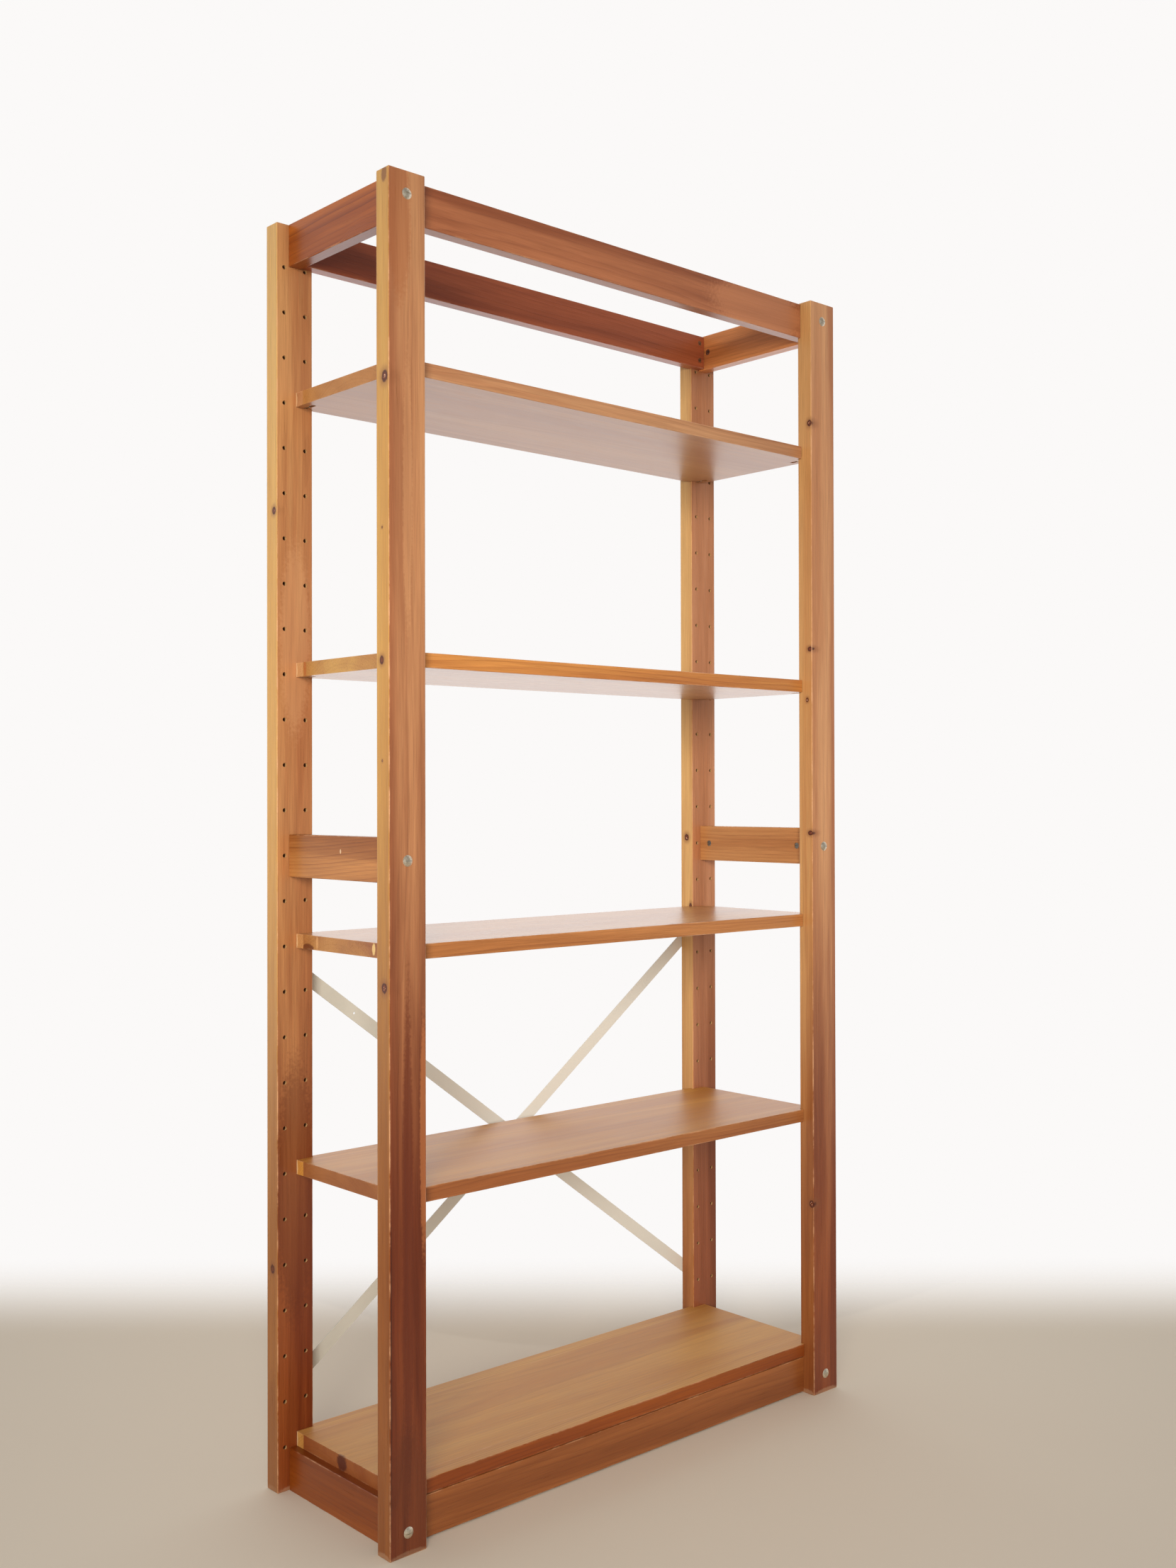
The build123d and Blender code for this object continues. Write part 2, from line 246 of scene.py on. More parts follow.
def paint_knot(tree, colour, distance, place, strength):
    """Lays a knot's halo, heart, bark ring and pale chips over a colour."""
    for inside, outside, share, tint in (halo, knot_heart):
        amount = add_node(tree, "ShaderNodeMapRange",
                          {"Value": distance, "From Min": inside, "From Max": outside,
                           "To Min": share * strength, "To Max": 0.0},
                          interpolation_type="SMOOTHSTEP").outputs[0]
        colour = add_node(tree, "ShaderNodeMix",
                          {"Factor": amount, "A": colour, "B": linear_colour(tint)},
                          data_type="RGBA").outputs[2]
    from_ring = add_node(tree, "ShaderNodeMath", {0: distance, 1: bark_ring},
                         operation="SUBTRACT").outputs[0]
    from_ring = add_node(tree, "ShaderNodeMath", {0: from_ring},
                         operation="ABSOLUTE").outputs[0]
    bark = add_node(tree, "ShaderNodeMapRange",
                    {"Value": from_ring, "From Min": 0.08, "From Max": 0.50,
                     "To Min": 0.9 * strength, "To Max": 0.0},
                    interpolation_type="SMOOTHSTEP").outputs[0]
    colour = add_node(tree, "ShaderNodeMix",
                      {"Factor": bark, "A": colour, "B": linear_colour(bark_tone)},
                      data_type="RGBA").outputs[2]
    torn = add_node(tree, "ShaderNodeTexNoise", {"Vector": place, "Scale": 420.0, "Detail": 1.0})
    torn = add_node(tree, "ShaderNodeMapRange",
                    {"Value": torn.outputs["Fac"], "From Min": 0.62, "From Max": 0.66}).outputs[0]
    near = add_node(tree, "ShaderNodeMapRange",
                    {"Value": distance, "From Min": 0.75, "From Max": 0.95, "To Min": strength,
                     "To Max": 0.0}).outputs[0]
    chips = add_node(tree, "ShaderNodeMath", {0: torn, 1: near}, operation="MULTIPLY").outputs[0]
    return add_node(tree, "ShaderNodeMix",
                    {"Factor": chips, "A": colour, "B": linear_colour(chip_tone)},
                    data_type="RGBA").outputs[2]


print("a knot's halo reaches", halo[1], "of its own radii")

# %% [markdown]
# ## Stains, filler, bare corners, painted light and painted shade
#
# Some marks are only a patch of another colour: a brown stain, a dab of pale filler, a corner
# rubbed bare. Others are painted light, painted shade or a painted shadow. A patch is a soft
# ellipsoid with a ragged border, set in the face that shows it.

# %% A patch of another colour
ragged_border = (1.0, 1.4)  # where a patch starts to fade and has gone, in its own radii


def paint_mark(tree, colour, place, middle, mark):
    """Lays one patch over a colour. A mark is (spot, radii, tone, share)."""
    spot, radii, tone, share = mark
    distance = knot_distance(tree, place, middle, spot, radii)
    amount = add_node(tree, "ShaderNodeMapRange",
                      {"Value": distance, "From Min": ragged_border[0],
                       "From Max": ragged_border[1], "To Min": share, "To Max": 0.0},
                      interpolation_type="SMOOTHSTEP").outputs[0]
    return add_node(tree, "ShaderNodeMix",
                    {"Factor": amount, "A": colour, "B": linear_colour(tone)},
                    data_type="RGBA").outputs[2]


print("a patch fades over", ragged_border, "of its own radii")

# %% [markdown]
# ## Wear
#
# Handling rubs the stain off the long arrises first. A point is on an arris when it is close to
# two faces of the plank at once, so the closeness to each pair of faces is worked out, and the
# products of two of them mark the edges. Noise breaks the line up, because real wear is patchy.

# %% Worn arrises
arris_width, arris_tone = 0.0022, "#D3A077"


def arris_wear(tree, place, half):
    """From 0 to 1 at the plank's edges, in patches."""
    distance = add_node(tree, "ShaderNodeVectorMath", {0: place},
                        operation="ABSOLUTE").outputs[0]
    distance = add_node(tree, "ShaderNodeVectorMath", {0: distance, 1: half},
                        operation="SUBTRACT").outputs[0]
    close = add_node(tree, "ShaderNodeMapRange",
                     {"Vector": distance, "From Min": (-arris_width,) * 3,
                      "From Max": (0.0, 0.0, 0.0)},
                     data_type="FLOAT_VECTOR", interpolation_type="SMOOTHSTEP").outputs["Vector"]
    x, y, z = add_node(tree, "ShaderNodeSeparateXYZ", {0: close}).outputs
    pairs = [add_node(tree, "ShaderNodeMath", {0: a, 1: b}, operation="MULTIPLY").outputs[0]
             for a, b in ((x, y), (y, z), (x, z))]
    most = pairs[0]
    for pair in pairs[1:]:
        most = add_node(tree, "ShaderNodeMath", {0: most, 1: pair},
                        operation="MAXIMUM").outputs[0]
    patches = add_node(tree, "ShaderNodeTexNoise",
                       {"Vector": place, "Scale": 24.0, "Detail": 6.0, "Roughness": 0.72})
    patches = add_node(tree, "ShaderNodeMapRange",
                       {"Value": patches.outputs["Fac"], "From Min": 0.46,
                        "From Max": 0.64}).outputs[0]
    return add_node(tree, "ShaderNodeMath", {0: most, 1: patches},
                    operation="MULTIPLY").outputs[0]


print("the worn band along an edge is", arris_width * 1000, "mm wide")

# %% [markdown]
# ## How the stain lies, and the painted shade at the foot
#
# Soft pine takes a water stain unevenly, in streaks tens of millimetres wide and most of a metre
# long. The heartwood along one side of a board turns redder, and its border follows the streaks.
# Towards the floor the wood is painted darker, the wide faces more than the narrow ones: a painted
# shade for the light that falls off downwards. One stretched noise makes the streaks, and the
# other two effects reuse it, so all three agree.

# %% Streaks, heartwood and painted shade at the foot
# The tones of the painted shade towards the floor.
foot_shade_light, foot_shade_dark = (0.49, 0.24, 0.14, 1.0), (0.35, 0.15, 0.08, 1.0)


def stain_streaks(tree, place, grain, streak_scale, seed):
    """From 0 to 1 in long soft streaks. Another seed gives another board."""
    streak_place = add_node(tree, "ShaderNodeVectorMath",
                            {0: place, 1: along_and_across(grain, 1.3, streak_scale),
                             2: (seed, seed * 1.7, -seed)}, operation="MULTIPLY_ADD").outputs[0]
    streaks = add_node(tree, "ShaderNodeTexNoise",
                       {"Vector": streak_place, "Scale": 1.0, "Detail": 4.0, "Roughness": 0.55,
                        "Distortion": 0.35})
    return add_node(tree, "ShaderNodeMapRange",
                    {"Value": streaks.outputs["Fac"], "From Min": 0.32, "From Max": 0.68},
                    interpolation_type="SMOOTHSTEP").outputs[0]


def paint_heartwood(tree, colour, streaks, sides, parts, half, heart):
    """Reddens one side of the wide faces. Heart is (axis, side, reach in metres, tone, share)."""
    axis, side, reach, tone, share = heart
    ragged = add_node(tree, "ShaderNodeMath", {0: streaks, 1: 0.012, 2: parts[AXES[axis]]},
                      operation="MULTIPLY_ADD").outputs[0]
    edge = side * half[AXES[axis]]
    red = add_node(tree, "ShaderNodeMapRange",
                   {"Value": ragged, "From Min": edge, "From Max": edge - side * reach,
                    "To Min": share, "To Max": 0.0}, interpolation_type="SMOOTHSTEP").outputs[0]
    on_wide = add_node(tree, "ShaderNodeMath", {0: 1.0, 1: sides},
                       operation="SUBTRACT").outputs[0]
    red = add_node(tree, "ShaderNodeMath", {0: red, 1: on_wide}, operation="MULTIPLY").outputs[0]
    return add_node(tree, "ShaderNodeMix", {"Factor": red, "A": colour, "B": linear_colour(tone)},
                    data_type="RGBA").outputs[2]


def paint_foot_shade(tree, colour, streaks, sides, parts, middle, foot):
    """Paints shade towards the floor, for the light that falls off downwards. Foot is (full at,
    gone at, share on wide faces, on narrow).
    """
    full_at, gone_at, on_wide_faces, on_narrow_faces = foot
    dark_share = add_node(tree, "ShaderNodeMapRange",
                          {"Value": sides, "To Min": on_wide_faces,
                           "To Max": on_narrow_faces}).outputs[0]
    height = add_node(tree, "ShaderNodeMath", {0: streaks, 1: -0.12, 2: parts[2]},
                      operation="MULTIPLY_ADD").outputs[0]
    height = add_node(tree, "ShaderNodeMapRange",
                      {"Value": height, "From Min": full_at - middle.z,
                       "From Max": gone_at - middle.z, "To Min": 1.0, "To Max": 0.0},
                      interpolation_type="SMOOTHSTEP").outputs[0]
    height = add_node(tree, "ShaderNodeMath", {0: height, 1: dark_share},
                      operation="MULTIPLY").outputs[0]
    # The painted shade, from a lighter to a darker red brown along the streaks.
    painted_shade = add_node(tree, "ShaderNodeMix",
                     {"Factor": streaks, "A": foot_shade_light, "B": foot_shade_dark},
                     data_type="RGBA").outputs[2]
    return add_node(tree, "ShaderNodeMix", {"Factor": height, "A": colour, "B": painted_shade},
                    data_type="RGBA", blend_type="MULTIPLY").outputs[2]


# The darkest painted shade at the foot.
print("the foot's darkest stain lets through", foot_shade_dark[:3], "of red, green and blue")

# %% [markdown]
# ## Stained pine under satin lacquer
#
# The wide faces are red brown, and the narrow faces, cut nearer the bark, stay golden. Over the
# stain lies a thin satin lacquer, which has the gloss of any varnish, about 1.47 in refractive
# index, blurred by fine dust and use.
#
# One function makes the material of any plank from a few facts: which way its grain runs, where
# the pith was, how wide its rings are and the tones of its wide and narrow faces. So every plank
# is its own cut of wood.

# %% The pine
varnish_ior = 1.47
latewood_stain = (0.55, 0.42, 0.36, 1.0)


def stained_pine(node_name, grain, wide, narrow=None, narrow_axis=None, *, pith, lean, ring_width,
                 figure, seed, streak_scale=26.0, knots=(), foot=None, heart=None, marks=(),
                 holes=False, wear=0.6, roughness=0.32):
    """Gives a plank its own material. Wide and narrow are (light tone, dark tone) hex pairs."""
    material, output = new_material("stained_pine_satin_" + node_name)
    tree = material.node_tree
    place, parts, middle, half = plank_coordinates(tree, node_name)
    pith = [0.0 if AXES[grain] == i else p for i, p in enumerate(pith)]
    lean = [0.0 if AXES[grain] == i else p for i, p in enumerate(lean)]
    distances = [knot_distance(tree, place, middle, k["spot"], k["radii"]) for k in knots]
    bulges = [knot_bulge(tree, d, k["push"]) for d, k in zip(distances, knots)]
    latewood = ring_pattern(tree, place, parts, grain, pith, lean, ring_width, bulges)

    streaks = stain_streaks(tree, place, grain, streak_scale, seed)
    light, dark = linear_colour(wide[0]), linear_colour(wide[1])
    if narrow_axis:
        normal = add_node(tree, "ShaderNodeTexCoord").outputs["Normal"]
        sides = add_node(tree, "ShaderNodeSeparateXYZ", {0: normal}).outputs[AXES[narrow_axis]]
        sides = add_node(tree, "ShaderNodeMath", {0: sides}, operation="ABSOLUTE").outputs[0]
        sides = add_node(tree, "ShaderNodeMapRange",
                         {"Value": sides, "From Min": 0.35, "From Max": 0.8}).outputs[0]
        light, dark = (
            add_node(tree, "ShaderNodeMix",
                     {"Factor": sides, "A": linear_colour(a), "B": linear_colour(b)},
                     data_type="RGBA").outputs[2]
            for a, b in zip(wide, narrow))
    colour = add_node(tree, "ShaderNodeMix", {"Factor": streaks, "A": light, "B": dark},
                      data_type="RGBA").outputs[2]

    if heart:
        colour = paint_heartwood(tree, colour, streaks, sides, parts, half, heart)

    # Latewood takes the stain as thin dark lines.
    lines = add_node(tree, "ShaderNodeMath", {0: latewood, 1: figure},
                     operation="MULTIPLY").outputs[0]
    colour = add_node(tree, "ShaderNodeMix",
                      {"Factor": lines, "A": colour, "B": latewood_stain},
                      data_type="RGBA", blend_type="MULTIPLY").outputs[2]

    # Fibres: half a millimetre across and some centimetres long.
    fibre_place = add_node(tree, "ShaderNodeVectorMath",
                           {0: place, 1: along_and_across(grain, 16.0, 900.0)},
                           operation="MULTIPLY").outputs[0]
    fibres = add_node(tree, "ShaderNodeTexNoise",
                      {"Vector": fibre_place, "Scale": 1.0, "Detail": 3.0, "Roughness": 0.6})
    shade = add_node(tree, "ShaderNodeMapRange",
                     {"Value": fibres.outputs["Fac"], "From Min": 0.3, "From Max": 0.7,
                      "To Min": 0.84, "To Max": 1.1}).outputs[0]
    colour = add_node(tree, "ShaderNodeVectorMath", {0: colour, "Scale": shade},
                      operation="SCALE").outputs[0]

    # Painted shade towards the floor, for the light that falls off downwards.
    if foot:
        colour = paint_foot_shade(tree, colour, streaks, sides, parts, middle, foot)
    for distance, knot in zip(distances, knots):
        if knot["shown"]:
            colour = paint_knot(tree, colour, distance, place, knot["shown"])
    for mark in marks:
        colour = paint_mark(tree, colour, place, middle, mark)

    # Handling has rubbed the long edges pale, and the drill has bared the holes; deeper in, the
    # holes are painted shade.
    worn = arris_wear(tree, place, half)
    worn = add_node(tree, "ShaderNodeMath", {0: worn, 1: wear}, operation="MULTIPLY").outputs[0]
    colour = add_node(tree, "ShaderNodeMix",
                      {"Factor": worn, "A": colour, "B": linear_colour(arris_tone)},
                      data_type="RGBA").outputs[2]
    if holes:
        colour = bare_wood_in_holes(tree, colour, place, parts, middle, half)

    # The lacquer follows the fibres a little, in how it shines and in its relief.
    polish = add_node(tree, "ShaderNodeMapRange",
                      {"Value": fibres.outputs["Fac"], "From Min": 0.3, "From Max": 0.7,
                       "To Min": roughness - 0.05, "To Max": roughness + 0.05}).outputs[0]
    relief = add_node(tree, "ShaderNodeMath", {0: fibres.outputs["Fac"], 1: 0.5, 2: latewood},
                      operation="MULTIPLY_ADD").outputs[0]
    bump = add_node(tree, "ShaderNodeBump",
                    {"Height": relief, "Strength": 0.35, "Distance": 0.0003}).outputs[0]
    shader = add_node(tree, "ShaderNodeBsdfPrincipled",
                      {"Base Color": colour, "Roughness": polish, "Normal": bump,
                       "IOR": varnish_ior})
    tree.links.new(shader.outputs[0], output.inputs[0])
    give([node_name], material)


print("the lacquer's refractive index is", varnish_ior)

# %% [markdown]
# ## Bare wood and painted shade in the pin holes
#
# The stain never reached the walls of the holes, so a thin pale crescent of bare wood shows just
# inside each rim, and deeper down the walls are painted dark, a painted shade inside the hole.
# They lie in two columns at an even pitch, so the height is wrapped to one pitch, and a single
# distance then finds every hole.

# %% Pin holes
hole_pitch, hole_reach, hole_depth = 0.064, 0.0034, 0.0125
pin_column, outer_column = 0.4015, 0.4355  # from the middle of the bookcase
# Bare wood at each rim, and the painted shade deeper in.
bare_tone, hole_shade_tone = "#D8AC78", "#4A2A18"


def bare_wood_in_holes(tree, colour, place, parts, middle, half):
    """Mixes pale bare wood in below the surface of the face that looks into the bay, and painted
    shade deeper in each hole.
    """
    height = add_node(tree, "ShaderNodeMath",
                      {0: parts[2], 1: hole_pitch / 2, 2: -hole_pitch / 2},
                      operation="WRAP").outputs[0]
    inside = None
    for column in (pin_column, outer_column):
        sideways = add_node(tree, "ShaderNodeMath",
                            {0: parts[0], 1: math.copysign(column, middle.x) - middle.x},
                            operation="SUBTRACT").outputs[0]
        spread = add_node(tree, "ShaderNodeCombineXYZ", {0: sideways, 1: height}).outputs[0]
        away = add_node(tree, "ShaderNodeVectorMath", {0: spread},
                        operation="LENGTH").outputs["Value"]
        within = add_node(tree, "ShaderNodeMath", {0: away, 1: hole_reach},
                          operation="LESS_THAN").outputs[0]
        inside = within if inside is None else add_node(
            tree, "ShaderNodeMath", {0: inside, 1: within}, operation="MAXIMUM").outputs[0]
    inward = math.copysign(1.0, -middle.y)
    depth = add_node(tree, "ShaderNodeMath", {0: parts[1], 1: -inward, 2: half.y},
                     operation="MULTIPLY_ADD").outputs[0]
    sunk = add_node(tree, "ShaderNodeMapRange",
                    {"Value": depth, "From Min": 0.0003, "From Max": 0.0012}).outputs[0]
    drilled = add_node(tree, "ShaderNodeMath", {0: depth, 1: hole_depth},
                       operation="LESS_THAN").outputs[0]
    amount = inside
    for limit in (sunk, drilled):
        amount = add_node(tree, "ShaderNodeMath", {0: amount, 1: limit},
                          operation="MULTIPLY").outputs[0]
    # Deeper in, the wall of the hole turns to painted shade.
    shadowed = add_node(tree, "ShaderNodeMapRange",
                        {"Value": depth, "From Min": 0.0012, "From Max": 0.0045}).outputs[0]
    inner_wall = add_node(tree, "ShaderNodeMix",
                          {"Factor": shadowed, "A": linear_colour(bare_tone),
                           "B": linear_colour(hole_shade_tone)}, data_type="RGBA").outputs[2]
    return add_node(tree, "ShaderNodeMix", {"Factor": amount, "A": colour, "B": inner_wall},
                    data_type="RGBA").outputs[2]


print("pin holes follow each other every", hole_pitch * 1000, "mm")

# %% [markdown]
# ## The four uprights
#
# Each upright is its own board. The knots sit on the narrow faces, and each board is painted
# darker and redder towards the floor, a painted shade for the light that falls off downwards. Its
# marks are a few broad streaks that the stain left, and some patches of painted light and painted
# shade, each one a (spot, radii, tone, share of that tone).

# %% Uprights
knot_depth, rim_height, rim_tone, rim_share = 0.009, 0.008, "#B58E6D", 0.42


def side_knot(node_name, y, z, radius, tall=1.25, shown=1.0, push=0.004):
    """A knot on the left narrow face: y and z in metres, its radius across the grain."""
    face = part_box(node_name)[0].x
    return {"spot": (face, y, z), "radii": (knot_depth, radius, radius * tall),
            "shown": shown, "push": push}


def worn_foot(node_name):
    """A pale rim where the upright stands, on the faces that meet the brush and the mop."""
    low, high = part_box(node_name)
    middle, reach = (low + high) / 2, (high - low) / 2 * 1.1
    wide_rims = [((middle.x, y, 0.0), (reach.x, 0.004, rim_height - 0.001), rim_tone, rim_share)
                 for y in (low.y, high.y)]
    narrow_rims = [((x, middle.y, 0.0), (0.004, reach.y, rim_height), rim_tone, rim_share)
                   for x in (low.x, high.x)]
    return wide_rims + narrow_rims


left_front, right_front = "front_left_upright", "front_right_upright"
left_rear, right_rear = "rear_left_upright", "rear_right_upright"
stained_pine(left_front, "Z", ("#B98358", "#965E3C"), ("#C8994F", "#BC8843"), "X",
             pith=(-0.035, 0.075, 0), lean=(0.012, 0.006, 0), ring_width=0.0034, figure=0.30,
             foot=(0.25, 1.12, 1.0, 0.92), heart=("X", -1, 0.024, "#94502F", 0.7),
             seed=3.1, wear=0.85, holes=True,
             marks=worn_foot(left_front) + [
                 ((-0.4475, -0.140, 1.780), (0.004, 0.006, 0.012), "#74452A", 0.75),
                 ((-0.4190, -0.150, 0.400), (0.009, 0.004, 0.340), "#5C2410", 0.62),
                 ((-0.4300, -0.150, 1.720), (0.018, 0.004, 0.110), "#9A5830", 0.50),
                 ((-0.4180, -0.150, 1.370), (0.008, 0.004, 0.190), "#DCA673", 0.20),
                 # A painted shade across the foot of the front face.
                 ((-0.4185, -0.150, 0.060), (0.034, 0.004, 0.110), "#4F2311", 0.38),
                 ((-0.3940, -0.150, 0.540), (0.006, 0.004, 0.160), "#B06A3C", 0.55),
                 ((-0.4450, -0.150, 0.250), (0.0012, 0.004, 0.230), "#35150B", 0.60)],
             knots=[side_knot(left_front, -0.141, 1.518, 0.0052),
                    side_knot(left_front, -0.134, 1.153, 0.0036),
                    side_knot(left_front, -0.135, 1.324, 0.0012, shown=0.7, push=0.001),
                    side_knot(left_front, -0.135, 1.023, 0.0012, shown=0.7, push=0.001),
                    side_knot(left_front, -0.139, 0.731, 0.0045)])
stained_pine(right_front, "Z", ("#CB9466", "#B1744A"), ("#C8975F", "#B47B47"), "X",
             pith=(0.05, 0.09, 0), lean=(0.01, -0.004, 0), ring_width=0.004, figure=0.25,
             foot=(0.10, 0.95, 1.0, 0.85), heart=("X", 1, 0.020, "#9E5E3C", 0.5),
             seed=8.4, wear=0.85, holes=True, marks=worn_foot(right_front),
             knots=[side_knot(right_front, -0.146, 1.587, 0.0035),
                    side_knot(right_front, -0.146, 1.217, 0.0040, tall=0.8),
                    side_knot(right_front, -0.146, 0.916, 0.0040, tall=0.8),
                    side_knot(right_front, -0.140, 1.134, 0.0025, shown=0.8),
                    side_knot(right_front, -0.146, 0.311, 0.0040)])
stained_pine(left_rear, "Z", ("#C58F5B", "#AA6E42"), ("#D6A962", "#CC9952"), "X",
             pith=(0.02, -0.08, 0), lean=(0.008, 0.008, 0), ring_width=0.0036, figure=0.30,
             foot=(0.15, 1.05, 1.0, 0.80), heart=("X", 1, 0.030, "#96522F", 0.4),
             seed=13.7, wear=0.85, holes=True, marks=worn_foot(left_rear) + [
                 # A painted pool of light across the wide face that looks into the bay, at mid
                 # height.
                 ((-0.4185, 0.122, 1.200), (0.026, 0.004, 0.140), "#DCA878", 0.24),
                 # Painted shade across the same face, lower down.
                 ((-0.4185, 0.122, 0.420), (0.034, 0.004, 0.190), "#5A2410", 0.50),
                 # Painted shade at the foot of the narrow face.
                 ((-0.4475, 0.136, 0.060), (0.004, 0.018, 0.110), "#7A4118", 0.40)],
             knots=[side_knot(left_rear, 0.130, 1.381, 0.0036),
                    side_knot(left_rear, 0.135, 0.312, 0.0040)])
stained_pine(right_rear, "Z", ("#C48A64", "#AC6F46"), ("#D9AC6D", "#BE874E"), "X",
             pith=(-0.06, -0.05, 0), lean=(0.006, -0.01, 0), ring_width=0.0034, figure=0.30,
             foot=(0.10, 0.85, 0.85, 0.85), seed=21.2, holes=True, marks=worn_foot(right_rear),
             knots=[side_knot(right_rear, 0.136, 0.904, 0.0040),
                    side_knot(right_rear, 0.127, 0.783, 0.0025, tall=1.8)])

# %% [markdown]
# ## The rails
#
# The side rails are the showiest pieces: short boards with bold rings, one of them with the rings
# sweeping round a knot that the saw just missed. A bulge without any colours makes that sweep.
# The long rails are plainer and darker, the rear ones darkest.

# %% Rails
stained_pine("top_left_side_rail", "Y", ("#AE5E1F", "#8B4111"),
             pith=(0.10, 0, 0.055), lean=(0.02, 0, 0.03), ring_width=0.0042, figure=0.95, seed=2.0,
             knots=[{"spot": (-0.4285, -0.062, 1.722), "radii": (0.03, 0.015, 0.007),
                     "shown": 0.0, "push": 0.024}])
stained_pine("middle_left_side_rail", "Y", ("#BA7D44", "#8E5222"),
             pith=(0.10, 0, -0.11), lean=(0.0, 0, 0.05), ring_width=0.0034, figure=0.80, seed=4.0,
             marks=[((-0.4285, -0.009, 0.903), (0.003, 0.0016, 0.0035), "#EBCFA8", 0.65)])
stained_pine("bottom_left_side_rail", "Y", ("#974D15", "#7A370C"),
             pith=(0.10, 0, 0.09), lean=(0.03, 0, 0.0), ring_width=0.0045, figure=0.45, seed=5.0)
stained_pine("top_right_side_rail", "Y", ("#EA9858", "#BA6D39"),
             pith=(-0.1, 0, 0.07), lean=(0.03, 0, 0.0), ring_width=0.004, figure=0.45, seed=6.0)
stained_pine("middle_right_side_rail", "Y", ("#C08751", "#A46939"),
             pith=(-0.1, 0, 0.12), lean=(0.0, 0, -0.02), ring_width=0.005, figure=0.5, seed=7.0)
stained_pine("bottom_right_side_rail", "Y", ("#96592F", "#7A4224"),
             pith=(-0.1, 0, 0.08), lean=(0.02, 0, 0.0), ring_width=0.0045, figure=0.45, seed=9.0)
stained_pine("top_front_rail", "X", ("#AC6A44", "#894B2C"),
             marks=[((0.290, -0.128, 1.758), (0.120, 0.012, 0.040), "#CE8A5E", 0.40)],
             pith=(0, 0.09, -0.05), lean=(0, 0.01, 0.02), ring_width=0.0038, figure=0.4, seed=11.0)
stained_pine("top_rear_rail", "X", ("#B6613B", "#8C4429"),
             pith=(0, -0.08, -0.05), lean=(0, 0.01, 0.02), ring_width=0.004, figure=0.35,
             seed=12.0)
stained_pine("bottom_front_rail", "X", ("#A46231", "#854922"),
             pith=(0, 0.09, 0.06), lean=(0, 0.01, 0.01), ring_width=0.004, figure=0.4, seed=14.0)
stained_pine("bottom_rear_rail", "X", ("#A15538", "#7C3B27"),
             pith=(0, -0.09, 0.05), lean=(0, 0.01, 0.01), ring_width=0.004, figure=0.35,
             seed=15.0)
print("rails finished:", sum(name.endswith("_rail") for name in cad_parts))

# %% [markdown]
# ## The shelves
#
# A shelf is a core board between two solid strips of pine, the lippings. The core's faces are
# veneer, calmer and paler than solid wood, and the lippings show their own rings. Laying them out
# in one loop keeps the five shelves alike, while the seed makes each one its own.

# %% Shelves
shelf_names = ("shelf_1", "shelf_2", "shelf_3", "shelf_4", "bottom_shelf")
flat_tones = (("#C28D5E", "#B0784E"), ("#C69360", "#B47D50"), ("#C28D56", "#B07847"),
              ("#CB8E40", "#B87832"), ("#CD974D", "#BB803D"))
end_tones = (("#B98149", "#AA713A"), ("#C2934E", "#AC7740"), ("#B47E43", "#925933"),
             ("#A06436", "#8E542C"), ("#9C5A2A", "#85421B"))
front_tones = (("#C08E63", "#A06641"), ("#D08E48", "#AD6A34"), ("#C0814A", "#A56837"),
               ("#A66939", "#91532A"), ("#994E17", "#843D10"))
left_end = -0.4165
rubbed = (0.34, 0.30, 0.30, 0.42, 0.56)  # roughness: the lower shelves are the most used
core_marks = {
    "shelf_2": [((left_end, 0.099, 1.157), (0.004, 0.004, 0.012), "#A5532A", 0.6)],
    "shelf_3": [((left_end, 0.092, 0.765), (0.006, 0.016, 0.006), "#5A2613", 0.85),
                ((left_end, 0.068, 0.773), (0.004, 0.003, 0.010), "#D9A268", 0.6),
                ((left_end, -0.070, 0.774), (0.004, 0.004, 0.008), "#E3BF7C", 0.85)],
    # The dark patch on the bottom shelf's end is a painted shadow of the front left upright.
    "bottom_shelf": [((left_end, 0.0075, 0.070), (0.004, 0.012, 0.013), "#4A180D", 0.85)],
}
for number, shelf in enumerate(shelf_names):
    stained_pine(shelf + "_core", "X", flat_tones[number], end_tones[number], "X",
                 pith=(0, 0.02 * number - 0.04, -0.12), lean=(0, 0.05, 0.01), ring_width=0.0048,
                 figure=0.25, streak_scale=14.0, seed=30.0 + 3.7 * number, wear=0.4,
                 marks=core_marks.get(shelf, ()), roughness=rubbed[number])
    shelf_middle = sum(corner.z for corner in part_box(shelf + "_core")) / 2
    bare_corner = [((left_end, 0.121, shelf_middle), (0.004, 0.003, 0.012), "#DDB88A", 0.75)]
    for side, pith_y in (("front", 0.06), ("rear", -0.06)):
        stained_pine(f"{shelf}_{side}_lipping", "X", flat_tones[number], front_tones[number], "Y",
                     pith=(0, pith_y, -0.03 - 0.01 * number), lean=(0, 0.01, 0.02),
                     ring_width=0.0034, figure=0.55, seed=50.0 + 2.9 * number + 40 * pith_y,
                     marks=bare_corner if side == "rear" else (), roughness=rubbed[number])
shelf_low, shelf_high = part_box("shelf_1_core")
print(len(shelf_names), "shelves finished, each", round(shelf_high.x - shelf_low.x, 3), "m wide")
